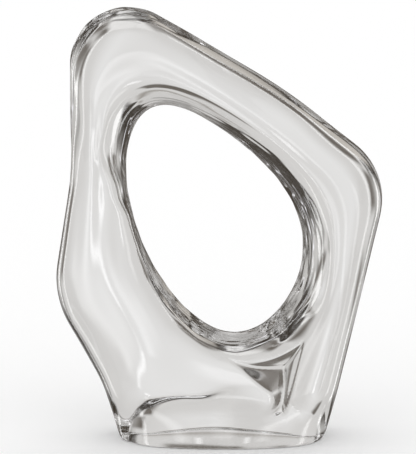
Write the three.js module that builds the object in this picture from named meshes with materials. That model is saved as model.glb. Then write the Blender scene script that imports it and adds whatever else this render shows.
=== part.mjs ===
// A free-standing loop of solid clear glass, pierced by one egg-shaped hole and ground flat underneath.
// Millimetres, +Z up, front on -Y. The loop is one hot-worked body; its members meet at narrow seams.
import * as THREE from "three";

// Outer outline seen from the front: corners of the loop and the radius that rounds each of them.
// The two heels lie below the ground face, which cuts them off at z = 0.
const HEEL_LEFT = { x: -74.5, z: -12, radius: 16 };
const ANKLE = { x: -90.5, z: 46, radius: 90 };
const HIP = { x: -130, z: 116, radius: 75 };
const WAIST = { x: -113.5, z: 216, radius: 200 };
const CROWN = { x: -115, z: 374.5, radius: 44 };
const ARM = { x: 50, z: 277.3, radius: 500 };
const SHOULDER = { x: 133, z: 213.5, radius: 52 };
const HEEL_RIGHT = { x: 81.2, z: -12, radius: 22 };
const OUTLINE = [HEEL_LEFT, ANKLE, HIP, WAIST, CROWN, ARM, SHOULDER, HEEL_RIGHT];
const ARC_STEPS = 48;

// The hole: an egg on a leaning axis, its narrow end up and to the left.
const EYE = { x: -7, z: 175 };
const HOLE_HALF_LENGTH = 94.5;
const HOLE_HALF_WIDTH = 58;
const HOLE_LEAN = 57;
const HOLE_TAPER = 0.195;
const HOLE_BEND = -3.5;
const HOLE_HOOK = 9.5;
const HOLE_STEPS = 720;

// Cross-sections on spokes from the eye, at angles from +X toward +Z. depth is the share of HALF_DEPTH,
// half the thickness; flare is the share of FLARE, by which the front lip of the hole is drawn back from it,
// or overhangs it where negative; rim and edge are how square the section is at the hole and at the outline
// (2 is an ellipse).
const HALF_DEPTH = 30;
const FLARE = 20;
const SECTIONS = [
  { angle: 6, depth: 1, rim: 5.5, edge: 2.8, flare: 1 },
  { angle: 30, depth: 1, rim: 5.5, edge: 2.8, flare: 1 },
  { angle: 60, depth: 0.97, rim: 5, edge: 4.6, flare: 0.95 },
  { angle: 95, depth: 1, rim: 5, edge: 4.2, flare: 1 },
  { angle: 114, depth: 1.03, rim: 5.5, edge: 2.4, flare: 0.95 },
  { angle: 126, depth: 1.1, rim: 5.5, edge: 2, flare: 1 },
  { angle: 140, depth: 1.02, rim: 5, edge: 2.4, flare: 0.8 },
  { angle: 158, depth: 0.92, rim: 7, edge: 5, flare: 0.15 },
  { angle: 174, depth: 0.89, rim: 14, edge: 4.7, flare: -0.08 },
  { angle: 190, depth: 0.87, rim: 14, edge: 4.1, flare: -0.08 },
  { angle: 210, depth: 0.87, rim: 10, edge: 3, flare: -0.03 },
  { angle: 222, depth: 0.88, rim: 9, edge: 2.7, flare: 0.03 },
  { angle: 240, depth: 0.92, rim: 8, edge: 3.6, flare: 0.1 },
  { angle: 255, depth: 0.97, rim: 7, edge: 8, flare: 0.15 },
  { angle: 285, depth: 1, rim: 4.4, edge: 8, flare: 0.2 },
  { angle: 305, depth: 1.03, rim: 5, edge: 3.2, flare: 0.55 },
  { angle: 330, depth: 1.02, rim: 5.5, edge: 3, flare: 0.95 },
];
const FLARE_POWER = 1.5;
const CORNER_CROWDING = 0.08;

// Faces are slightly barrelled. Forms on the front only fade in over the middle of the thickness.
const BARREL = 0.8;
const FRONT_START = 0.25;
const FRONT_SPAN = 0.5;

// The bar along the foot: widest low down, rounded at its left end, and dying out upward at a fold
// that sinks a little to the right on the front and climbs to the right on the back. On the back its swell
// passes from one share of the front's to another.
const BAR_SWELL = 7.2;
const BAR_WIDEST = 4;
const BAR_END = { x: -52, length: 17 };
const FRONT_FOLD = [{ x: -66, z: 40 }, { x: 10, z: 38 }, { x: 50, z: 34 }];
const BACK_FOLD = [{ x: -75, z: 22 }, { x: -22, z: 31 }, { x: 22, z: 40 }];
const BACK_SHARE = { left: 1.3, right: 0.3, x: -10, length: 60 };

// The right limb: a rounded swell to the right of a leaning line, fading out toward the shoulder.
const LIMB_SWELL = 5;
const LIMB_LINE = { x: 54, z: 30, lean: 0.24 };
const LIMB_CREST = 44;
const LIMB_TOP = 165;
const LIMB_FADE = 85;
const MEETING_SHARE = 0.25;
const CREASE = 1;

// The three-cornered hollow in the front, between the lip of the hole, the right limb, the bar and the
// round-nosed tongue of the left blade. Each side falls away from its edge at its own slope.
const LIP_EDGE = { width: 16.5, middle: 30, lean: 0.23, slope: 1.4 };
const LIMB_EDGE = { gap: 1.5, slope: 2 };
const BAR_EDGE = { z: 25.2, slope: 0.8 };
const TONGUE = { x: 32.2, z: 37.6, radius: 9.9, slant: 38.3, slope: 0.75 };
const HOLLOW_CORNER = 3;
const HOLLOW_BEND = 0.8;
const HOLLOW_ROUND = 0.6;
const HOLLOW_LEFT = { x: -35, fade: 35 };
const HOLLOW_TOP = { z: 125, fade: 40 };

// A low keel down the front of the left blade, and a shallow scoop in front of the crown.
const KEEL = { swell: 2.5, x: -86, shift: 32, bend: 180, length: 130, width: 26 };
const KEEL_FOOT = { z: 30, fade: 50 };
const KEEL_HEAD = { z: 300, fade: 60 };
const SCOOP = { depth: 5, angle: 124, spread: 20, reach: 28, fade: 14 };

// The foot narrows to a rounded plan at its two ends, over its own height; back is the share of that
// narrowing behind the middle of the thickness.
const FOOT_PLAN = { middle: 0.8, reach: 84, power: 2.3, height: 50, most: 0.985, back: 0.18 };

// The ground face and the seams.
const GROUND_FILLET = 5;
const SEAM_GAP = 0.3;

// Members round the loop. Each starts at a spoke angle and ends where the next one starts; spokes and points
// are the divisions along and round it, finest on the folded foot.
const MEMBERS = [
  { name: "right_limb", start: -48, spokes: 12, points: 36 },
  { name: "shoulder", start: -18, spokes: 16, points: 36 },
  { name: "top_arm", start: 42, spokes: 14, points: 36 },
  { name: "crown", start: 92, spokes: 22, points: 36 },
  { name: "left_limb", start: 150, spokes: 18, points: 36 },
  { name: "foot", start: 225, spokes: 58, points: 70 },
];
const CLEAR_GLASS = { color: 0xf1f0ee, roughness: 0.02, metalness: 0, transparent: true, opacity: 0.35 };

const radians = THREE.MathUtils.degToRad;
const clamp = THREE.MathUtils.clamp;

// Rises smoothly from 0 to 1, with no kink at either end.
function ease(t) {
  return THREE.MathUtils.smootherstep(t, 0, 1);
}

// A value where it is above zero, and close to zero elsewhere, with a rounded bend between.
function above(value, bend) {
  return (value + Math.hypot(value, bend)) / 2;
}

// The lesser of two values, with a rounded bend where they cross.
function lesser(a, b, bend) {
  return (a + b - Math.hypot(a - b, bend)) / 2;
}

// The outline as a closed run of points: every corner becomes an arc between its two straight sides.
function outlinePoints() {
  const points = [];
  OUTLINE.forEach((corner, i) => {
    const before = OUTLINE[(i + OUTLINE.length - 1) % OUTLINE.length];
    const after = OUTLINE[(i + 1) % OUTLINE.length];
    const tip = new THREE.Vector2(corner.x, corner.z);
    const back = new THREE.Vector2(before.x, before.z).sub(tip).normalize();
    const ahead = new THREE.Vector2(after.x, after.z).sub(tip).normalize();
    const halfAngle = Math.acos(back.dot(ahead)) / 2;
    const setback = corner.radius / Math.tan(halfAngle);
    const middle = back.clone().add(ahead).setLength(corner.radius / Math.sin(halfAngle)).add(tip);
    const start = back.clone().multiplyScalar(setback).add(tip).sub(middle).angle();
    const end = ahead.clone().multiplyScalar(setback).add(tip).sub(middle).angle();
    const turn = THREE.MathUtils.euclideanModulo(end - start + Math.PI, 2 * Math.PI) - Math.PI;
    for (let k = 0; k <= ARC_STEPS; k += 1) {
      const angle = start + (turn * k) / ARC_STEPS;
      const spoke = new THREE.Vector2(Math.cos(angle), Math.sin(angle));
      points.push(spoke.multiplyScalar(corner.radius).add(middle));
    }
  });
  return points;
}

// The hole as a closed run of points.
function holePoints() {
  const lean = radians(HOLE_LEAN);
  const along = new THREE.Vector2(-Math.cos(lean), Math.sin(lean));
  const across = new THREE.Vector2(Math.sin(lean), Math.cos(lean));
  return Array.from({ length: HOLE_STEPS }, (_, k) => {
    const turn = (2 * Math.PI * k) / HOLE_STEPS;
    const reach = Math.cos(turn);
    const side = HOLE_HALF_WIDTH * Math.sin(turn) * (1 - HOLE_TAPER * reach);
    const drift = HOLE_BEND * reach ** 2 + HOLE_HOOK * reach ** 3;
    const point = new THREE.Vector2(EYE.x, EYE.z);
    return point.addScaledVector(along, HOLE_HALF_LENGTH * reach).addScaledVector(across, side + drift);
  });
}

// Distance from the eye to a closed run of points along one spoke.
function spokeLength(points, angle) {
  const out = new THREE.Vector2(Math.cos(angle), Math.sin(angle));
  const eye = new THREE.Vector2(EYE.x, EYE.z);
  for (let k = 0; k < points.length; k += 1) {
    const a = points[k].clone().sub(eye);
    const b = points[(k + 1) % points.length].clone().sub(eye);
    const sideA = out.cross(a);
    const sideB = out.cross(b);
    if (sideA * sideB <= 0 && sideA !== sideB && out.dot(a) > 0) {
      return out.dot(a.lerp(b, sideA / (sideA - sideB)));
    }
  }
  throw new Error("spoke misses the outline");
}

// Section sizes at an angle, blended between the two nearest given sections.
function sectionAt(angle) {
  const degrees = THREE.MathUtils.euclideanModulo(THREE.MathUtils.radToDeg(angle), 360);
  const next = Math.max(SECTIONS.findIndex((section) => section.angle > degrees), 0);
  const b = SECTIONS[next];
  const a = SECTIONS[(next + SECTIONS.length - 1) % SECTIONS.length];
  const span = THREE.MathUtils.euclideanModulo(b.angle - a.angle, 360);
  const t = ease(THREE.MathUtils.euclideanModulo(degrees - a.angle, 360) / span);
  const mix = (key) => THREE.MathUtils.lerp(a[key], b[key], t);
  const sizes = { depth: HALF_DEPTH * mix("depth"), flare: FLARE * mix("flare") };
  return { ...sizes, rim: mix("rim"), edge: mix("edge") };
}

// Height of a fold above a place along the foot, eased from point to point.
function foldHeight(fold, x) {
  return fold.slice(1).reduce((height, to, i) => {
    const from = fold[i];
    return height + (to.z - from.z) * ease((x - from.x) / (to.x - from.x));
  }, fold[0].z);
}

// Extra half thickness of the foot bar below a fold.
function barSwell(fold, x, z) {
  const rise = (Math.max(z, BAR_WIDEST) - BAR_WIDEST) / (foldHeight(fold, x) - BAR_WIDEST);
  const tail = Math.max(BAR_END.x - x, 0) / BAR_END.length;
  return above(BAR_SWELL * (1 - rise ** 2 - tail ** 2), CREASE);
}

// Extra half thickness of the foot bar at the back.
function backBarSwell(x, z) {
  const along = ease((x - BACK_SHARE.x) / BACK_SHARE.length);
  const share = THREE.MathUtils.lerp(BACK_SHARE.left, BACK_SHARE.right, along);
  return share * barSwell(BACK_FOLD, x, z);
}

// Distance to the right of the line where the right limb begins.
function pastLimbLine(x, z) {
  return x - LIMB_LINE.x - LIMB_LINE.lean * (z - LIMB_LINE.z);
}

// Extra half thickness of the right limb.
function limbSwell(x, z) {
  const toCrest = 1 - clamp(pastLimbLine(x, z) / LIMB_CREST, -1, 1);
  return above(LIMB_SWELL * (1 - toCrest ** 2), CREASE) * ease((LIMB_TOP - z) / LIMB_FADE);
}

// Distance outside the tongue: from its slanting upper edge, its level lower edge or its round nose.
function pastTongue(x, z) {
  const right = x - TONGUE.x;
  const up = z - TONGUE.z;
  const c = Math.cos(radians(TONGUE.slant));
  const s = Math.sin(radians(TONGUE.slant));
  const atNose = right > 0 && c * right > s * up;
  return (atNose ? Math.hypot(right, up) : Math.max(s * right + c * up, -up)) - TONGUE.radius;
}

// Depth of the three-cornered hollow.
function hollowDepth(x, z, fromHole) {
  const lip = LIP_EDGE.slope * (fromHole - LIP_EDGE.width - LIP_EDGE.lean * (x - LIP_EDGE.middle));
  const limb = -LIMB_EDGE.slope * (pastLimbLine(x, z) + LIMB_EDGE.gap);
  const corner = lesser(limb, BAR_EDGE.slope * (z - BAR_EDGE.z), HOLLOW_CORNER);
  const upper = lesser(lip, TONGUE.slope * pastTongue(x, z), HOLLOW_BEND);
  const depth = above(lesser(upper, corner, HOLLOW_BEND), HOLLOW_ROUND);
  return depth * ease((x - HOLLOW_LEFT.x) / HOLLOW_LEFT.fade) * ease((HOLLOW_TOP.z - z) / HOLLOW_TOP.fade);
}

// Height of the keel on the left blade.
function keelSwell(x, z) {
  const crest = KEEL.x + KEEL.shift * ease((KEEL.bend - z) / KEEL.length);
  const ends = ease((z - KEEL_FOOT.z) / KEEL_FOOT.fade) * ease((KEEL_HEAD.z - z) / KEEL_HEAD.fade);
  return KEEL.swell * Math.exp(-(((x - crest) / KEEL.width) ** 2)) * ends;
}

// Depth of the scoop in front of the crown.
function scoopDepth(angle, fromHole) {
  const aside = (THREE.MathUtils.radToDeg(angle) - SCOOP.angle) / SCOOP.spread;
  return SCOOP.depth * Math.exp(-(aside ** 2)) * ease((SCOOP.reach - fromHole) / SCOOP.fade);
}

// Share of the thickness that the rounded plan of the foot leaves.
function footPlan(x, z, front) {
  const out = Math.min(Math.abs(x - FOOT_PLAN.middle) / FOOT_PLAN.reach, FOOT_PLAN.most);
  const round = (1 - out ** FOOT_PLAN.power) ** (1 / FOOT_PLAN.power);
  const share = THREE.MathUtils.lerp(FOOT_PLAN.back, 1, front);
  return THREE.MathUtils.lerp(1, round, share * ease(1 - Math.max(z, 0) / FOOT_PLAN.height));
}

// Cuts the glass off at z = 0 and eases the sides into the cut.
function groundOff(z) {
  if (z <= -GROUND_FILLET) {
    return 0;
  }
  return z >= GROUND_FILLET ? z : (z + GROUND_FILLET) ** 2 / (4 * GROUND_FILLET);
}

// One closed ring of points across the glass, on the spoke at the given angle.
function ringAt(angle, points, outline, hole) {
  const outer = spokeLength(outline, angle);
  const inner = spokeLength(hole, angle);
  const middle = (outer + inner) / 2;
  const half = (outer - inner) / 2;
  const section = sectionAt(angle);
  return Array.from({ length: points }, (_, k) => {
    const even = (2 * Math.PI * k) / points;
    const turn = even + CORNER_CROWDING * Math.sin(4 * even);
    const c = Math.cos(turn);
    const s = Math.sin(turn);
    const power = THREE.MathUtils.lerp(section.rim, section.edge, (1 + c) / 2);
    const square = (Math.abs(c) ** power + Math.abs(s) ** power) ** (-1 / power);
    const wide = square * c;
    const deep = square * s;
    const toFront = (1 - deep) / 2;
    const drawn = section.flare * ((1 - wide) / 2) ** 2 * toFront ** FLARE_POWER;
    const reach = middle + half * wide + drawn;
    const x = EYE.x + reach * Math.cos(angle);
    const z = EYE.z + reach * Math.sin(angle);
    const fromHole = reach - inner;
    const front = ease((toFront - FRONT_START) / FRONT_SPAN);
    const bar = THREE.MathUtils.lerp(backBarSwell(x, z), barSwell(FRONT_FOLD, x, z), front);
    const limb = limbSwell(x, z);
    const foot = Math.max(bar, limb) + MEETING_SHARE * Math.min(bar, limb);
    const onFront = keelSwell(x, z) - scoopDepth(angle, fromHole) - hollowDepth(x, z, fromHole);
    const thick = section.depth + foot + front * onFront + BARREL * (1 - wide ** 2);
    return new THREE.Vector3(x, deep * footPlan(x, z, front) * thick, groundOff(z));
  });
}

// One member of the loop: rings from seam to seam, closed by a flat cap at each end.
function memberGeometry(member, endAngle, outline, hole) {
  const halfSeam = (angle) => SEAM_GAP / 2 / spokeLength(hole, angle);
  const from = radians(member.start) + halfSeam(radians(member.start));
  const to = radians(endAngle) - halfSeam(radians(endAngle));
  const rings = Array.from({ length: member.spokes + 1 }, (_, i) => {
    return ringAt(THREE.MathUtils.lerp(from, to, i / member.spokes), member.points, outline, hole);
  });
  const around = member.points;
  const points = rings.flat();
  const faces = [];
  for (let i = 0; i < member.spokes; i += 1) {
    for (let k = 0; k < around; k += 1) {
      const a = i * around + k;
      const b = i * around + ((k + 1) % around);
      const c = b + around;
      const d = a + around;
      faces.push(a, b, c, a, c, d);
    }
  }
  [rings[0], rings[member.spokes]].forEach((ring, end) => {
    const hub = points.length;
    const first = end * member.spokes * around;
    points.push(ring.reduce((sum, p) => sum.add(p), new THREE.Vector3()).divideScalar(around));
    for (let k = 0; k < around; k += 1) {
      const a = first + k;
      const b = first + ((k + 1) % around);
      faces.push(hub, end ? a : b, end ? b : a);
    }
  });
  const geometry = new THREE.BufferGeometry().setFromPoints(points);
  geometry.setIndex(faces);
  geometry.computeVertexNormals();
  return geometry;
}

const outline = outlinePoints();
const hole = holePoints();
const sculpture = new THREE.Group();
MEMBERS.forEach((member, i) => {
  const next = MEMBERS[i + 1] ?? { start: MEMBERS[0].start + 360 };
  const geometry = memberGeometry(member, next.start, outline, hole);
  const mesh = new THREE.Mesh(geometry, new THREE.MeshStandardMaterial(CLEAR_GLASS));
  mesh.name = member.name;
  sculpture.add(mesh);
});

// The middle of the thickness goes over the origin.
const thickness = new THREE.Box3().setFromObject(sculpture);
const offMiddle = (thickness.min.y + thickness.max.y) / 2;
sculpture.children.forEach((mesh) => mesh.geometry.translate(0, -offMiddle, 0));

export default sculpture;
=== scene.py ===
"""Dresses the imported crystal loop: one seamless body of clear glass, on a pale floor in a soft studio."""
import math

import bpy
import numpy as np
from bpy.props import FloatProperty, FloatVectorProperty, IntProperty, PointerProperty
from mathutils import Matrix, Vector, noise


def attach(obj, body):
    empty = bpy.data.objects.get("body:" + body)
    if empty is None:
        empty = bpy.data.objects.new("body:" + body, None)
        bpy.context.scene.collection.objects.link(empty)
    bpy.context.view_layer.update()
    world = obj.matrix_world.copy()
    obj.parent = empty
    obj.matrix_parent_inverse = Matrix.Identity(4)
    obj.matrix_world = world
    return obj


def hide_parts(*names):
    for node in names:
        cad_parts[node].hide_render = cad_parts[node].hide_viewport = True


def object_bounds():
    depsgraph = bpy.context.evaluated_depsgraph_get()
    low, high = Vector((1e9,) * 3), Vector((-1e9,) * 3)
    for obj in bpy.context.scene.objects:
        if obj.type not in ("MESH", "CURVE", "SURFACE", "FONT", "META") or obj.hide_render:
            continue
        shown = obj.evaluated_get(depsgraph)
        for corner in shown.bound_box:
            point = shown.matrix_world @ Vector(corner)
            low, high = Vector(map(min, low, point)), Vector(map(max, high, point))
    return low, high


bl_info = {
    "name": "Crystal loop sculpture",
    "version": (1, 0, 0),
    "blender": (4, 5, 0),
    "location": "View3D > Sidebar > Crystal loop",
    "description": "Builds a pierced loop of solid clear glass and the studio that shows it",
    "category": "Object",
}

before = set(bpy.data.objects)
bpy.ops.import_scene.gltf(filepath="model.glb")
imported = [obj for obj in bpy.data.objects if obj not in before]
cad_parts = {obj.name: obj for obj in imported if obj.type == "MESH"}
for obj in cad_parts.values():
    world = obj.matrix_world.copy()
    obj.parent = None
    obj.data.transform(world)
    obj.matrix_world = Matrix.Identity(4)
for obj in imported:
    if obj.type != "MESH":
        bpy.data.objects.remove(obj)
CAD_BOX = [list(corner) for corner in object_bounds()]
MEMBERS = sorted(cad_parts)

# Cross-sections on spokes from the eye: angle from +X toward +Z in degrees, share of the half depth,
# squareness at the hole and at the outline (2 is an ellipse), share of the flare of the front lip.
SECTIONS = np.array([
    (6, 1.0, 5.5, 2.8, 1.0),
    (30, 1.0, 5.5, 2.8, 1.0),
    (60, 0.97, 5.0, 4.6, 0.95),
    (95, 1.0, 5.0, 4.2, 1.0),
    (114, 1.03, 5.5, 2.4, 0.95),
    (126, 1.1, 5.5, 2.0, 1.0),
    (140, 1.02, 5.0, 2.4, 0.8),
    (158, 0.92, 7.0, 5.0, 0.15),
    (174, 0.89, 14.0, 4.7, -0.08),
    (190, 0.87, 14.0, 4.1, -0.08),
    (210, 0.87, 10.0, 3.0, -0.03),
    (222, 0.88, 9.0, 2.7, 0.03),
    (240, 0.92, 8.0, 3.6, 0.1),
    (255, 0.97, 7.0, 8.0, 0.15),
    (285, 1.0, 4.4, 8.0, 0.2),
    (305, 1.03, 5.0, 3.2, 0.55),
    (330, 1.02, 5.5, 3.0, 0.95),
])
FLARE_POWER = 1.5
CORNER_CROWDING = 0.08
FRONT_START, FRONT_SPAN = 0.25, 0.5
# Points on a corner's arc and round the hole, parts that a side is divided into, samples round the loop, and
# how many of those the outline, the depth and the other section sizes are blurred over.
ARC_POINTS, HOLE_POINTS, SIDE_PARTS = 200, 6000, 40
SAMPLES, OUTLINE_BLUR, DEPTH_BLUR, SECTION_BLUR = 2880, 12, 72, 24

# Forms of the foot, in metres: the bar and its folds, the right limb, the three-cornered hollow.
BAR_WIDEST = 0.004
BAR_END, BAR_END_LENGTH = -0.052, 0.017
FRONT_FOLD = ((-0.066, 0.040), (0.010, 0.038), (0.050, 0.034))
BACK_FOLD = ((-0.075, 0.022), (-0.022, 0.031), (0.022, 0.040))
BACK_SHARE, BACK_LEFT, BACK_FADE_X, BACK_FADE_LENGTH = 1.3, 0.3, -0.010, 0.060
LIMB_X, LIMB_Z, LIMB_LEAN = 0.054, 0.030, 0.24
LIMB_CREST, LIMB_TOP, LIMB_FADE = 0.044, 0.165, 0.085
MEETING_SHARE, CREASE = 0.25, 0.001
LIP_WIDTH, LIP_MIDDLE, LIP_LEAN, LIP_SLOPE = 0.0165, 0.030, 0.23, 1.4
LIMB_EDGE, LIMB_SLOPE = 0.0015, 2.0
BAR_EDGE, BAR_SLOPE = 0.0252, 0.8
NOSE_X, NOSE_Z, NOSE_ROUND = 0.0322, 0.0376, 0.0099
TONGUE_SLANT, TONGUE_SLOPE = math.radians(38.3), 0.75
HOLLOW_CORNER = 0.003
HOLLOW_BEND, HOLLOW_ROUND = 0.0008, 0.0006
HOLLOW_LEFT, HOLLOW_LEFT_FADE = -0.035, 0.035
HOLLOW_TOP, HOLLOW_TOP_FADE = 0.125, 0.040

# The keel down the left blade, the scoop in front of the crown, the rounded plan of the foot.
KEEL_X, KEEL_SHIFT, KEEL_BEND, KEEL_LENGTH, KEEL_WIDTH = -0.086, 0.032, 0.180, 0.130, 0.026
KEEL_FOOT, KEEL_FOOT_FADE = 0.030, 0.050
KEEL_HEAD, KEEL_HEAD_FADE = 0.300, 0.060
SCOOP_ANGLE, SCOOP_SPREAD, SCOOP_REACH, SCOOP_FADE = 124, 20, 0.028, 0.014
PLAN_MIDDLE, PLAN_REACH, PLAN_POWER, PLAN_HEIGHT, PLAN_MOST = 0.0008, 0.084, 2.3, 0.050, 0.985
PLAN_BACK = 0.18

# Waves left by hot working, as sines: height, radians per radian round the loop and per half section across
# it, phase, then how far the phase wanders, how often round the loop, and from where.
TOOL_RIPPLES = (
    (0.6, 11, 3.9, 0, 0, 0, 0),
    (0.6, 17, -5, 1, 0, 0, 0),
    (0.42, 27, 8, 2, 0, 0, 0),
    (0.36, 6, -11, 0, 0, 0, 0),
    (1.6, 5, 24, 0, 1.5, 3, 0),
    (1.2, -9, 31, 0, 2, 2, 1),
)
DRAWN_WAVES = ((1.2, 0, 7, 0, 1.2, 2, 0), (0.8, 0, 12, 0, 2, 1, 1))

# The crown: angle and spread of its ripples, and how much stronger they are than in the hole. Then, in
# metres, the middle of its arc, and from there where its dented edge starts and is full, and where that fades
# below and to the right. Then the stretch and scale of the dents, and the depth of the finer ones.
CROWN_ANGLE, CROWN_SPREAD, CROWN_RIPPLE = 126, 22, 4
CROWN_X, CROWN_Z = -0.070, 0.297
DENT_START, DENT_FULL = 0.033, 0.041
DENT_BELOW, DENT_ABOVE = -0.012, 0.010
DENT_RIGHT, DENT_LEFT = 0.034, 0.014
DENT_STRETCH, DENT_SCALE, FINE_DENT_DEPTH = (0.35, 1, 0.35), 115, 0.003

# Faint drawn lines: lean, stretch and depth. Rubbed rim of the ground face: heights where the rubbing ends and
# is full, scale of its scuffs, and noise levels between which a scuff appears.
LINE_LEAN, LINE_STRETCH, LINE_DEPTH = math.radians(-28), (14, 9, 46), 0.002
RUB_END, RUB_FULL = 0.0018, 0.0004
SCUFF_SCALE, SCUFF_LOW, SCUFF_HIGH = 900, 0.42, 0.62

# Studio seen through the glass, mirrored left to right and front to back: middle and half width of a panel
# away from the Y axis, middle and half height above the level, softness, all in degrees, then the colour.
# Later panels lie over earlier ones.
PANELS = (
    (45, 90, -90, 28, 6, (0.06, 0.05, 0.04)),
    (45, 90, 90, 50, 5, (0.50, 0.495, 0.49)),
    (0, 30, -3, 43, 2.5, (0.67, 0.663, 0.655)),
    (0, 4, -14, 12, 6, (0.81, 0.81, 0.81)),
    (17, 7, -38, 8, 3, (0.15, 0.135, 0.12)),
    (26, 6, -19, 8, 3, (0.15, 0.135, 0.12)),
    (0, 8, 6, 6, 1.5, (0.14, 0.127, 0.112)),
    (0, 25, 23.5, 2, 3, (0.32, 0.30, 0.275)),
    (65, 30, 62, 2.5, 1.5, (2.5, 2.5, 2.6)),
    (90, 18, 0, 45, 3, (0.09, 0.075, 0.06)),
    (45, 14, -14, 13, 9, (0.66, 0.652, 0.64)),
    (90, 13, -11, 13, 8, (0.60, 0.595, 0.59)),
    (0, 12, -60, 7, 3, (0.60, 0.595, 0.59)),
    (54, 1.2, 10, 30, 0.8, (1.1, 1.1, 1.15)),
)
# Panels on one side only, mirrored front to back: the first number is degrees to the right of the Y axis.
SIDE_PANELS = (
    (-42, 14, -50, 10, 5, (0.60, 0.57, 0.53)),
    (32, 34, -53, 1.2, 1.2, (0.95, 0.95, 0.97)),
    (32, 34, -67, 1.2, 1.2, (0.95, 0.95, 0.97)),
)
# Softboxes seen as reflections on the outside of the glass, mirrored left to right: the first number is
# degrees round from the front.
SOFTBOXES = (
    (62, 6, 10, 55, 5, (4.0, 4.0, 4.0)),
    (118, 6, 10, 55, 5, (4.0, 4.0, 4.0)),
    (90, 90, 70, 12, 6, (3.0, 3.0, 3.0)),
    (8, 1.2, -18.2, 5, 1.2, (4.8, 4.8, 4.9)),
    (16, 3, -13, 8, 3, (2.4, 2.4, 2.4)),
    (0, 2.6, -8, 5, 2.2, (2.2, 2.2, 2.25)),
)
LIGHT_BOUNCES = 32


def metres(name, description, default, size=1):
    """A length property, or a run of lengths, with its name and description."""
    if size == 1:
        return FloatProperty(name=name, description=description, default=default, unit="LENGTH", precision=4)
    return FloatVectorProperty(
        name=name, description=description, default=default, size=size, unit="LENGTH", precision=4
    )


def factor(name, description, default):
    """A property between nothing and all, with its name and description."""
    return FloatProperty(name=name, description=description, default=default, min=0, max=1, subtype="FACTOR")


def rgb(name, description, default):
    """A colour property with its name and description."""
    return FloatVectorProperty(name=name, description=description, default=default, size=3, subtype="COLOR")


class LoopForm(bpy.types.PropertyGroup):
    """Sizes of the loop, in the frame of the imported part."""

    heel_left: metres("Left heel", "Corner x, z and radius", (-0.0745, -0.012, 0.016), 3)
    ankle: metres("Ankle", "Corner x, z and radius", (-0.0905, 0.046, 0.090), 3)
    hip: metres("Hip", "Corner x, z and radius", (-0.130, 0.116, 0.075), 3)
    waist: metres("Waist", "Corner x, z and radius", (-0.1135, 0.216, 0.200), 3)
    crown: metres("Crown", "Corner x, z and radius", (-0.115, 0.3745, 0.044), 3)
    arm: metres("Arm", "Corner x, z and radius", (0.050, 0.2773, 0.500), 3)
    shoulder: metres("Shoulder", "Corner x, z and radius", (0.133, 0.2135, 0.052), 3)
    heel_right: metres("Right heel", "Corner x, z and radius", (0.0812, -0.012, 0.022), 3)
    eye: metres("Eye", "Middle of the hole, x and z", (-0.007, 0.175), 2)
    hole_half_length: metres("Hole half length", "Along its leaning axis", 0.0945)
    hole_half_width: metres("Hole half width", "Across its leaning axis", 0.058)
    hole_lean: FloatProperty(
        name="Hole lean", description="Of its axis, above the level", default=math.radians(57), subtype="ANGLE"
    )
    hole_taper: factor("Hole taper", "How much narrower its upper end is", 0.195)
    hole_bend: metres("Hole bend", "Sideways bend of its axis", -0.0035)
    hole_hook: metres("Hole hook", "Sideways hook of its ends", 0.0095)
    half_depth: metres("Half depth", "Half the thickness of the loop", 0.030)
    flare: metres("Flare", "How far the front lip of the hole is drawn back", 0.020)
    barrel: metres("Barrel", "Crown of the front and back faces", 0.0008)
    bar_swell: metres("Bar swell", "Extra half thickness of the foot bar", 0.0072)
    limb_swell: metres("Limb swell", "Extra half thickness of the right limb", 0.005)
    keel_swell: metres("Keel swell", "Height of the keel on the left blade", 0.0025)
    scoop: metres("Scoop", "Depth of the scoop in front of the crown", 0.005)
    ripple: metres("Ripple", "Height of the tool ripples and of the drawn waves", 0.00009)
    dents: metres("Dents", "Depth of the dents on the edge of the crown", 0.0008)
    fillet: metres("Ground fillet", "Radius round the ground face", 0.005)
    spokes: IntProperty(name="Spokes", description="Divisions round the loop", default=450, min=48)
    around: IntProperty(name="Around", description="Divisions round a section", default=216, min=24)


class CrystalFinish(bpy.types.PropertyGroup):
    """Finish of the glass."""

    tint: rgb("Tint", "Colour of the glass", (0.995, 0.99, 0.982))
    bending: FloatProperty(name="Refraction", description="Index of the glass", default=1.54, min=1.3, max=2.0)
    foot_wear: factor("Foot wear", "Roughness of the rubbed rim of the ground face", 0.22)
    drawn_lines: factor("Drawn lines", "Strength of the faint lines left by hot working", 0.03)
    tool_marks: factor("Tool marks", "Strength of the fine dents on the edge of the crown", 0.6)


class StudioStage(bpy.types.PropertyGroup):
    """Floor, surroundings and camera."""

    floor_colour: rgb("Floor", "Colour of the floor", (1.0, 1.0, 1.0))
    flag_colour: rgb("Flags", "Colour of the dark flags round the panels", (0.035, 0.029, 0.023))
    room_colour: rgb("Room", "Colour of the room reflected off the glass", (0.12, 0.105, 0.09))
    camera_height: FloatProperty(
        name="Camera angle", description="Above the level", default=math.radians(12), subtype="ANGLE"
    )
    camera_distance: metres("Camera distance", "From the middle of the picture", 2.0)
    picture_height: metres("Picture height", "Height of the picture at the object", 0.35412)
    picture_middle: metres("Picture middle", "Point in the middle of the picture", (-0.0084, 0.0, 0.1693), 3)


def ease(t):
    """Rises from 0 to 1 as 6t^5 - 15t^4 + 10t^3, flat at both ends."""
    t = np.clip(t, 0, 1)
    return t * t * t * (t * (6 * t - 15) + 10)


def above(value, bend):
    """The part of a value above zero, with a rounded bend: half of the value plus the root of its square
    and the bend's square."""
    return (value + np.hypot(value, bend)) / 2


def lesser(a, b, bend):
    """The lesser of two values, rounded where they cross: half of their sum less the root of the square of
    their difference and the bend's square."""
    return (a + b - np.hypot(a - b, bend)) / 2


def smooth_round(values, width):
    """A closed run of values, blurred along its length by a bell curve of this many samples."""
    pitch = np.fft.rfftfreq(len(values))
    return np.fft.irfft(np.fft.rfft(values) * np.exp(-2 * (np.pi * pitch * width) ** 2), len(values))


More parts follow.
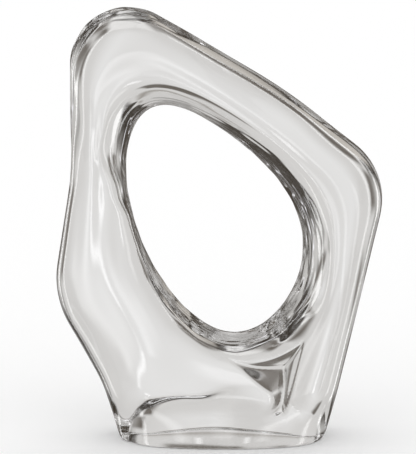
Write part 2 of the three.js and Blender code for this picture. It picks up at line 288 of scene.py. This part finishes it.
def outline_points(form):
    """The outline: each corner is an arc of its radius, tangent to its two sides; sides are the straight
    runs between arcs."""
    left = (form.heel_left, form.ankle, form.hip, form.waist)
    right = (form.crown, form.arm, form.shoulder, form.heel_right)
    corners = np.array([tuple(row) for row in left + right])
    tips, radius = corners[:, :2], corners[:, 2:]
    back = np.roll(tips, 1, axis=0) - tips
    back /= np.linalg.norm(back, axis=1, keepdims=True)
    ahead = np.roll(tips, -1, axis=0) - tips
    ahead /= np.linalg.norm(ahead, axis=1, keepdims=True)
    half = np.arccos(np.sum(back * ahead, axis=1, keepdims=True)) / 2
    inward = (back + ahead) / np.linalg.norm(back + ahead, axis=1, keepdims=True)
    middle = tips + inward * radius / np.sin(half)
    start = tips + back * radius / np.tan(half) - middle
    end = tips + ahead * radius / np.tan(half) - middle
    first = np.arctan2(start[:, 1], start[:, 0])[:, None]
    turn = (np.arctan2(end[:, 1], end[:, 0])[:, None] - first + np.pi) % (2 * np.pi) - np.pi
    angle = first + turn * np.linspace(0, 1, ARC_POINTS)
    arcs = middle[:, None, :] + radius[:, :, None] * np.stack([np.cos(angle), np.sin(angle)], axis=-1)
    return arcs.reshape(-1, 2)


def hole_points(form):
    """The hole: an egg on a leaning axis. Along the axis it goes as the cosine, across it as the sine times
    one less the taper times the cosine, plus a square and a cube of the cosine for its bend and hook."""
    turn = np.linspace(0, 2 * np.pi, HOLE_POINTS, endpoint=False)
    reach = np.cos(turn)
    across = form.hole_half_width * np.sin(turn) * (1 - form.hole_taper * reach)
    across += form.hole_bend * reach**2 + form.hole_hook * reach**3
    along = form.hole_half_length * reach
    c, s = math.cos(form.hole_lean), math.sin(form.hole_lean)
    return np.stack([form.eye[0] - c * along + s * across, form.eye[1] + s * along + c * across], axis=-1)


def spoke_lengths(points, eye, angles):
    """Distance from the eye to a closed run of points along each angle, read along finely divided sides."""
    share = np.linspace(0, 1, SIDE_PARTS, endpoint=False)[:, None]
    step = np.roll(points, -1, axis=0) - points
    fine = (points[:, None, :] + step[:, None, :] * share).reshape(-1, 2) - np.array(eye)
    bearing = np.arctan2(fine[:, 1], fine[:, 0]) % (2 * np.pi)
    order = np.argsort(bearing)
    return np.interp(angles, bearing[order], np.hypot(fine[:, 0], fine[:, 1])[order], period=2 * np.pi)


def section_values(angles):
    """Section sizes at each angle, eased between the two nearest given sections."""
    degrees = np.degrees(angles) % 360
    given = np.append(SECTIONS[:, 0], SECTIONS[0, 0] + 360)
    rows = np.vstack([SECTIONS[:, 1:], SECTIONS[:1, 1:]])
    degrees = np.where(degrees < given[0], degrees + 360, degrees)
    i = np.clip(np.searchsorted(given, degrees, side="right") - 1, 0, len(given) - 2)
    t = ease((degrees - given[i]) / (given[i + 1] - given[i]))[:, None]
    return rows[i] * (1 - t) + rows[i + 1] * t


def fold_height(fold, x):
    """Height of a fold above a place along the foot: eased steps between its points."""
    height = fold[0][1]
    for (x0, z0), (x1, z1) in zip(fold, fold[1:]):
        height = height + (z1 - z0) * ease((x - x0) / (x1 - x0))
    return height


def bar_swell(form, fold, x, z):
    """Extra half thickness of the foot bar: a parabola from its widest line up to the fold, less a parabola
    toward its rounded left end."""
    rise = (np.maximum(z, BAR_WIDEST) - BAR_WIDEST) / (fold_height(fold, x) - BAR_WIDEST)
    tail = np.maximum(BAR_END - x, 0) / BAR_END_LENGTH
    return above(form.bar_swell * (1 - rise**2 - tail**2), CREASE)


def past_limb_line(x, z):
    """Distance to the right of the leaning line where the right limb begins."""
    return x - LIMB_X - LIMB_LEAN * (z - LIMB_Z)


def limb_swell(form, x, z):
    """Extra half thickness of the right limb: a parabola from its line to its crest, fading upward."""
    to_crest = 1 - np.clip(past_limb_line(x, z) / LIMB_CREST, -1, 1)
    return above(form.limb_swell * (1 - to_crest**2), CREASE) * ease((LIMB_TOP - z) / LIMB_FADE)


def past_tongue(x, z):
    """Distance outside the round-ended tongue of the left blade: from its slanting upper edge, from its level
    lower edge, or from the middle of its round nose between the two."""
    right, up = x - NOSE_X, z - NOSE_Z
    c, s = math.cos(TONGUE_SLANT), math.sin(TONGUE_SLANT)
    nose = (right > 0) & (c * right > s * up)
    return np.where(nose, np.hypot(right, up), np.maximum(s * right + c * up, -up)) - NOSE_ROUND


def hollow_depth(x, z, from_hole):
    """Depth of the three-cornered hollow: the least of four slopes, away from the lip of the hole, the right
    limb, the bar and the tongue, fading to the left and upward."""
    lip = LIP_SLOPE * (from_hole - LIP_WIDTH - LIP_LEAN * (x - LIP_MIDDLE))
    limb = -LIMB_SLOPE * (past_limb_line(x, z) + LIMB_EDGE)
    corner = lesser(limb, BAR_SLOPE * (z - BAR_EDGE), HOLLOW_CORNER)
    upper = lesser(lip, TONGUE_SLOPE * past_tongue(x, z), HOLLOW_BEND)
    fade = ease((x - HOLLOW_LEFT) / HOLLOW_LEFT_FADE) * ease((HOLLOW_TOP - z) / HOLLOW_TOP_FADE)
    return above(lesser(upper, corner, HOLLOW_BEND), HOLLOW_ROUND) * fade


def keel_swell(form, x, z):
    """Height of the keel: a bell across its shifting crest, fading at its foot and head."""
    crest = KEEL_X + KEEL_SHIFT * ease((KEEL_BEND - z) / KEEL_LENGTH)
    ends = ease((z - KEEL_FOOT) / KEEL_FOOT_FADE) * ease((KEEL_HEAD - z) / KEEL_HEAD_FADE)
    return form.keel_swell * np.exp(-(((x - crest) / KEEL_WIDTH) ** 2)) * ends


def scoop_depth(form, angle, from_hole):
    """Depth of the scoop: a bell round its angle, fading outward from the hole."""
    aside = (np.degrees(angle) - SCOOP_ANGLE) / SCOOP_SPREAD
    return form.scoop * np.exp(-(aside**2)) * ease((SCOOP_REACH - from_hole) / SCOOP_FADE)


def foot_plan(x, z, front):
    """Share of the thickness left by the rounded plan of the foot: a superellipse in x, fading with height.

    Behind the middle of the thickness only a part of that narrowing is taken.
    """
    out = np.minimum(np.abs(x - PLAN_MIDDLE) / PLAN_REACH, PLAN_MOST)
    plan = (1 - out**PLAN_POWER) ** (1 / PLAN_POWER)
    share = PLAN_BACK + (1 - PLAN_BACK) * front
    return 1 - share * (1 - plan) * ease(1 - np.maximum(z, 0) / PLAN_HEIGHT)


def ground_off(z, fillet):
    """Heights cut off at zero, eased into the cut by the square of height plus fillet over four fillets."""
    eased = (np.clip(z, -fillet, fillet) + fillet) ** 2 / (4 * fillet)
    return np.where(z > fillet, z, eased)


def inside_cad(points):
    """Points divided, along each axis, by how many times further than the CAD box they reach, if at all.

    The box's floor is at zero, so its low side is taken as a hair below that.
    """
    low, high = np.array(CAD_BOX)
    hair = high / 1000
    over_high = points.max(axis=(0, 1)) / high
    over_low = points.min(axis=(0, 1)) / np.minimum(low, -hair)
    return points / np.maximum(np.maximum(over_high, over_low), 1)


def crossed_waves(rows, angle, across):
    """Sum of sines that run round the loop and across its section, with phases that wander round the loop."""
    total = 0
    for height, along, over, phase, wander, turns, start in rows:
        shift = phase + wander * np.sin(turns * angle + start)
        total = total + height * np.sin(along * angle + over * across + shift)
    return total


def tool_ripple(form, angle, wide, deep):
    """Small waves left by hot working, on the wall of the hole and, in a bell round its angle, on the crown."""
    crown = np.exp(-(((np.degrees(angle) - CROWN_ANGLE) / CROWN_SPREAD) ** 2))
    weight = wide**2 * np.where(wide < 0, 1, CROWN_RIPPLE * crown)
    return form.ripple * weight * crossed_waves(TOOL_RIPPLES, angle, deep)


def drawn_waves(form, angle, wide):
    """Long soft waves along the limbs, left by drawing out hot glass, fading at the rim and the edge."""
    return form.ripple * (1 - wide**4) * crossed_waves(DRAWN_WAVES, angle, wide)


def crown_dents(form, x, y, z):
    """Depth of the dents that tools left on the crown's outer edge: noise drawn out along the arc, in the band
    away from the middle of the crown's arc, fading below it and to the right."""
    right, up = x - CROWN_X, z - CROWN_Z
    band = ease((np.hypot(right, up) - DENT_START) / (DENT_FULL - DENT_START))
    band = band * ease((up - DENT_BELOW) / (DENT_ABOVE - DENT_BELOW))
    band = band * ease((DENT_RIGHT - right) / (DENT_RIGHT - DENT_LEFT))
    places = np.stack([x, y, z], axis=-1) * DENT_STRETCH * DENT_SCALE
    depth = np.zeros_like(band)
    for i, k in np.argwhere(band > 0):
        depth[i, k] = band[i, k] * noise.noise(Vector(places[i, k]))
    return form.dents * depth


def loop_surface(form):
    """The glass body as a grid of points: the first parameter is the spoke angle from the eye, the second
    the turn round a section. Across a spoke the section is a superellipse between hole and outline, its
    front lip drawn back by the flare; its depth carries the bar, limb, hollow, keel, scoop, barrel and
    waves. The whole is centred front to back and kept inside the CAD box."""
    even = np.linspace(0, 2 * np.pi, SAMPLES, endpoint=False)
    outer_run = smooth_round(spoke_lengths(outline_points(form), form.eye, even), OUTLINE_BLUR)
    inner_run = spoke_lengths(hole_points(form), form.eye, even)
    sizes = section_values(even)
    closed = np.append(even, 0)
    path = np.append(outer_run, outer_run[0])[:, None] * np.stack([np.cos(closed), np.sin(closed)], axis=-1)
    walked = np.append(0, np.cumsum(np.linalg.norm(np.diff(path, axis=0), axis=1)))
    places = np.linspace(0, walked[-1], form.spokes, endpoint=False)
    angle = np.interp(places, walked, np.append(even, 2 * np.pi))[:, None]

    def along(run):
        return np.interp(angle, even, run, period=2 * np.pi)

    outer, inner = along(outer_run), along(inner_run)
    depth = along(smooth_round(sizes[:, 0], DEPTH_BLUR))
    rim, edge, flare = (along(smooth_round(sizes[:, k], SECTION_BLUR)) for k in (1, 2, 3))
    turn = np.linspace(0, 2 * np.pi, form.around, endpoint=False)[None, :]
    turn = turn + CORNER_CROWDING * np.sin(4 * turn)
    c, s = np.cos(turn), np.sin(turn)
    power = rim + (edge - rim) * (1 + c) / 2
    square = (np.abs(c) ** power + np.abs(s) ** power) ** (-1 / power)
    wide, deep = square * c, square * s
    to_front = (1 - deep) / 2
    reach = (outer + inner) / 2 + (outer - inner) / 2 * wide
    reach = reach + form.flare * flare * ((1 - wide) / 2) ** 2 * to_front**FLARE_POWER
    reach = reach + tool_ripple(form, angle, wide, deep)
    x = form.eye[0] + reach * np.cos(angle)
    z = form.eye[1] + reach * np.sin(angle)
    front = ease((to_front - FRONT_START) / FRONT_SPAN)
    back_share = BACK_SHARE + (BACK_LEFT - BACK_SHARE) * ease((x - BACK_FADE_X) / BACK_FADE_LENGTH)
    back_bar = back_share * bar_swell(form, BACK_FOLD, x, z)
    bar = back_bar + (bar_swell(form, FRONT_FOLD, x, z) - back_bar) * front
    limb = limb_swell(form, x, z)
    foot = np.maximum(bar, limb) + MEETING_SHARE * np.minimum(bar, limb)
    foot = foot - front * hollow_depth(x, z, reach - inner)
    face = front * (keel_swell(form, x, z) - scoop_depth(form, angle, reach - inner))
    face = face + form.barrel * (1 - wide**2) + drawn_waves(form, angle, wide)
    y = deep * foot_plan(x, z, front) * (form.half_depth * depth + foot + face)
    dents = crown_dents(form, x, y, z)
    x, z = x - dents * np.cos(angle), z - dents * np.sin(angle)
    off_middle = (y.min() + y.max()) / 2
    return inside_cad(np.stack([x, y - off_middle, ground_off(z, form.fillet)], axis=-1))


def ring_faces(spokes, around):
    """Four-sided faces of a grid that closes on itself both ways, turned outward."""
    i, k = np.meshgrid(np.arange(spokes), np.arange(around), indexing="ij")
    i_next, k_next = (i + 1) % spokes, (k + 1) % around
    corners = (i * around + k, i * around + k_next, i_next * around + k_next, i_next * around + k)
    return np.stack(corners, axis=-1).reshape(-1, 4)


def add_mesh(name, points, faces, material):
    """A smooth mesh object at the origin, from arrays of points and faces."""
    mesh = bpy.data.meshes.new(name)
    mesh.from_pydata(points.reshape(-1, 3).tolist(), [], faces.tolist())
    mesh.polygons.foreach_set("use_smooth", np.ones(len(mesh.polygons), bool))
    mesh.materials.append(material)
    mesh.update()
    piece = bpy.data.objects.new(name, mesh)
    bpy.context.scene.collection.objects.link(piece)
    return piece


def add_node(tree, kind, links=(), **settings):
    """A node with its settings, and its inputs linked or set: (input, socket or value)."""
    node = tree.nodes.new(kind)
    for key, value in settings.items():
        setattr(node, key, value)
    for key, value in links:
        if isinstance(value, bpy.types.NodeSocket):
            tree.links.new(value, node.inputs[key])
        else:
            node.inputs[key].default_value = value
    return node


def math_node(tree, operation, a, b=0.0):
    """One sum on two values or sockets."""
    return add_node(tree, "ShaderNodeMath", ((0, a), (1, b)), operation=operation).outputs[0]


def smooth_step(tree, value, low, high):
    """Rises smoothly from 0 at low to 1 at high."""
    node = add_node(
        tree, "ShaderNodeMapRange", (("Value", value), ("From Min", low), ("From Max", high)),
        interpolation_type="SMOOTHSTEP",
    )
    return node.outputs["Result"]


def mix_colours(tree, share, a, b):
    """One colour over another by a share."""
    node = add_node(tree, "ShaderNodeMix", (("Factor", share),), data_type="RGBA")
    for key, value in (("A", a), ("B", b)):
        if isinstance(value, bpy.types.NodeSocket):
            tree.links.new(value, node.inputs[key])
        else:
            node.inputs[key].default_value = (*value, 1)
    return node.outputs["Result"]


def crown_edge(tree, place):
    """Share of the crown's outer edge: away from the middle of its arc, fading below it and to the right."""
    x, _, z = add_node(tree, "ShaderNodeSeparateXYZ", ((0, place),)).outputs
    right = math_node(tree, "SUBTRACT", x, CROWN_X)
    up = math_node(tree, "SUBTRACT", z, CROWN_Z)
    squares = math_node(tree, "ADD", math_node(tree, "POWER", right, 2), math_node(tree, "POWER", up, 2))
    away = smooth_step(tree, math_node(tree, "SQRT", squares), DENT_START, DENT_FULL)
    upper = smooth_step(tree, up, DENT_BELOW, DENT_ABOVE)
    left = smooth_step(tree, right, DENT_RIGHT, DENT_LEFT)
    return math_node(tree, "MULTIPLY", away, math_node(tree, "MULTIPLY", upper, left))


def clear_crystal(finish):
    """Clear crystal: hot-worked faces with faint drawn lines, fine dents on the edge of the crown, and a
    rubbed rim round the ground face."""
    material = bpy.data.materials.new("clear_crystal")
    material.use_nodes = True
    tree = material.node_tree
    shader = tree.nodes["Principled BSDF"]
    shader.inputs["Base Color"].default_value = (*finish.tint, 1)
    shader.inputs["Transmission Weight"].default_value = 1
    shader.inputs["IOR"].default_value = finish.bending
    place = add_node(tree, "ShaderNodeTexCoord").outputs["Object"]
    height = add_node(tree, "ShaderNodeSeparateXYZ", ((0, place),)).outputs["Z"]
    scuffs = add_node(
        tree, "ShaderNodeTexNoise",
        (("Vector", place), ("Scale", SCUFF_SCALE), ("Detail", 3.0), ("Roughness", 0.6)),
    ).outputs["Fac"]
    near_rim = smooth_step(tree, height, RUB_END, RUB_FULL)
    rubbed = math_node(tree, "MULTIPLY", near_rim, smooth_step(tree, scuffs, SCUFF_LOW, SCUFF_HIGH))
    tree.links.new(math_node(tree, "MULTIPLY", rubbed, finish.foot_wear), shader.inputs["Roughness"])
    line_place = add_node(
        tree, "ShaderNodeMapping", (("Vector", place), ("Rotation", (0, LINE_LEAN, 0)), ("Scale", LINE_STRETCH))
    ).outputs["Vector"]
    lines = add_node(tree, "ShaderNodeTexNoise", (("Vector", line_place), ("Scale", 1.0), ("Detail", 1.0)))
    drawn = add_node(
        tree, "ShaderNodeBump",
        (("Height", lines.outputs["Fac"]), ("Strength", finish.drawn_lines), ("Distance", LINE_DEPTH)),
    )
    dent_place = add_node(
        tree, "ShaderNodeMapping", (("Vector", place), ("Scale", DENT_STRETCH))
    ).outputs["Vector"]
    dents = add_node(
        tree, "ShaderNodeTexNoise",
        (("Vector", dent_place), ("Scale", DENT_SCALE), ("Detail", 1.0), ("Distortion", 0.6)),
    )
    tooled = add_node(
        tree, "ShaderNodeBump",
        (
            ("Height", dents.outputs["Fac"]),
            ("Strength", math_node(tree, "MULTIPLY", crown_edge(tree, place), finish.tool_marks)),
            ("Distance", FINE_DENT_DEPTH),
            ("Normal", drawn.outputs["Normal"]),
        ),
    )
    tree.links.new(tooled.outputs["Normal"], shader.inputs["Normal"])
    return material


def panel_mask(tree, across, up, panel):
    """Share of a soft-edged panel at a direction."""
    middle, half_width, level, half_height, soft = (math.radians(value) for value in panel[:5])
    aside = math_node(tree, "ABSOLUTE", math_node(tree, "SUBTRACT", across, middle))
    over = math_node(tree, "ABSOLUTE", math_node(tree, "SUBTRACT", up, level))
    wide = smooth_step(tree, aside, half_width + soft, half_width - soft)
    tall = smooth_step(tree, over, half_height + soft, half_height - soft)
    return math_node(tree, "MULTIPLY", wide, tall)


def add_panels(tree, colour, across, up, panels):
    """A colour with panels laid over it in turn."""
    for panel in panels:
        colour = mix_colours(tree, panel_mask(tree, across, up, panel), colour, panel[5])
    return colour


def studio_world(stage):
    """White round the scene. Rays that leave the glass meet a studio of pale panels between dark flags, and
    rays reflected off it meet a dim room with softboxes."""
    world = bpy.data.worlds.new("studio")
    world.use_nodes = True
    tree = world.node_tree
    direction = add_node(tree, "ShaderNodeTexCoord").outputs["Generated"]
    x, y, z = add_node(tree, "ShaderNodeSeparateXYZ", ((0, direction),)).outputs
    wide, deep = math_node(tree, "ABSOLUTE", x), math_node(tree, "ABSOLUTE", y)
    up = math_node(tree, "ARCSINE", z)
    from_axis = math_node(tree, "ARCTAN2", wide, deep)
    to_right = math_node(tree, "ARCTAN2", x, deep)
    from_front = math_node(tree, "ARCTAN2", wide, math_node(tree, "MULTIPLY", y, -1.0))
    through = add_panels(tree, tuple(stage.flag_colour), from_axis, up, PANELS)
    through = add_panels(tree, through, to_right, up, SIDE_PANELS)
    off = add_panels(tree, tuple(stage.room_colour), from_front, up, SOFTBOXES)
    rays = add_node(tree, "ShaderNodeLightPath").outputs
    glossy = math_node(tree, "MAXIMUM", rays["Is Glossy Ray"], rays["Is Transmission Ray"])
    mirrored = math_node(tree, "MULTIPLY", rays["Is Reflection Ray"], rays["Is Glossy Ray"])
    colour = mix_colours(tree, glossy, (1.0, 1.0, 1.0), mix_colours(tree, mirrored, through, off))
    tree.links.new(colour, tree.nodes["Background"].inputs["Color"])
    return world


def studio_floor(stage):
    """A level plane of matt white paper, from minus to plus its half width both ways."""
    paper = bpy.data.materials.new("floor_paper")
    paper.use_nodes = True
    tree = paper.node_tree
    shader = tree.nodes["Principled BSDF"]
    shader.inputs["Base Color"].default_value = (*stage.floor_colour, 1)
    shader.inputs["Roughness"].default_value = 1
    shader.inputs["Specular IOR Level"].default_value = 0
    half_width, level = 8.0, -0.0005
    corners = np.array([(-1, -1), (1, -1), (1, 1), (-1, 1)], float) * half_width
    points = np.column_stack([corners, np.full(4, level)])
    floor = add_mesh("floor", points, np.array([[0, 1, 2, 3]]), paper)
    floor.visible_transmission = False
    floor.visible_glossy = False


def photo_camera(stage):
    """The camera at the photograph's height and framing."""
    camera = bpy.data.cameras.new("photo_camera")
    camera.sensor_width = 36.0
    camera.lens = camera.sensor_width * stage.camera_distance / stage.picture_height
    view = bpy.data.objects.new("photo_camera", camera)
    back = Vector((0, -math.cos(stage.camera_height), math.sin(stage.camera_height)))
    view.location = Vector(stage.picture_middle) + back * stage.camera_distance
    view.rotation_euler = (math.pi / 2 - stage.camera_height, 0, 0)
    bpy.context.scene.collection.objects.link(view)
    bpy.context.scene.camera = view


class CRYSTAL_OT_body(bpy.types.Operator):
    """Build the seamless glass body that stands for all members of the loop"""

    bl_idname = "crystal_loop.body"
    bl_label = "Glass body"

    def execute(self, context):
        form = context.scene.crystal_form
        points = loop_surface(form)
        if not np.isfinite(points).all():
            raise RuntimeError("the loop's surface has undefined points")
        faces = ring_faces(form.spokes, form.around)
        body = add_mesh("crystal_body", points, faces, clear_crystal(context.scene.crystal_finish))
        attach(body, "root")
        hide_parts(*MEMBERS)
        return {"FINISHED"}


class CRYSTAL_OT_stage(bpy.types.Operator):
    """Build the floor, the studio round it and the camera"""

    bl_idname = "crystal_loop.stage"
    bl_label = "Studio"

    def execute(self, context):
        scene = context.scene
        studio_floor(scene.crystal_stage)
        scene.world = studio_world(scene.crystal_stage)
        photo_camera(scene.crystal_stage)
        scene.view_settings.view_transform = "Standard"
        scene.cycles.max_bounces = LIGHT_BOUNCES
        scene.cycles.glossy_bounces = LIGHT_BOUNCES
        scene.cycles.transmission_bounces = LIGHT_BOUNCES
        return {"FINISHED"}


class CRYSTAL_PT_panel(bpy.types.Panel):
    """Lists the pieces and the studio, and the sizes and colours they are built from"""

    bl_idname = "CRYSTAL_PT_panel"
    bl_label = "Crystal loop"
    bl_space_type = "VIEW_3D"
    bl_region_type = "UI"
    bl_category = "Crystal loop"

    def draw(self, context):
        for operator, group in ((CRYSTAL_OT_body, "crystal_form"), (CRYSTAL_OT_stage, "crystal_stage")):
            self.layout.operator(operator.bl_idname)
            self.draw_group(getattr(context.scene, group))
        self.draw_group(context.scene.crystal_finish)

    def draw_group(self, group):
        column = self.layout.column(align=True)
        for name in group.bl_rna.properties.keys():
            if name not in {"rna_type", "name"}:
                column.prop(group, name)


GROUPS = (("crystal_form", LoopForm), ("crystal_finish", CrystalFinish), ("crystal_stage", StudioStage))
CLASSES = (CRYSTAL_OT_body, CRYSTAL_OT_stage, CRYSTAL_PT_panel)


def register():
    """Adds the groups of properties and the classes to Blender."""
    for name, group in GROUPS:
        bpy.utils.register_class(group)
        setattr(bpy.types.Scene, name, PointerProperty(type=group))
    for cls in CLASSES:
        bpy.utils.register_class(cls)


def unregister():
    """Takes the classes and the groups of properties out again."""
    for cls in reversed(CLASSES):
        bpy.utils.unregister_class(cls)
    for name, group in reversed(GROUPS):
        delattr(bpy.types.Scene, name)
        bpy.utils.unregister_class(group)


def main():
    """Builds the body and the studio."""
    register()
    bpy.ops.crystal_loop.body()
    bpy.ops.crystal_loop.stage()


if __name__ == "__main__":
    main()
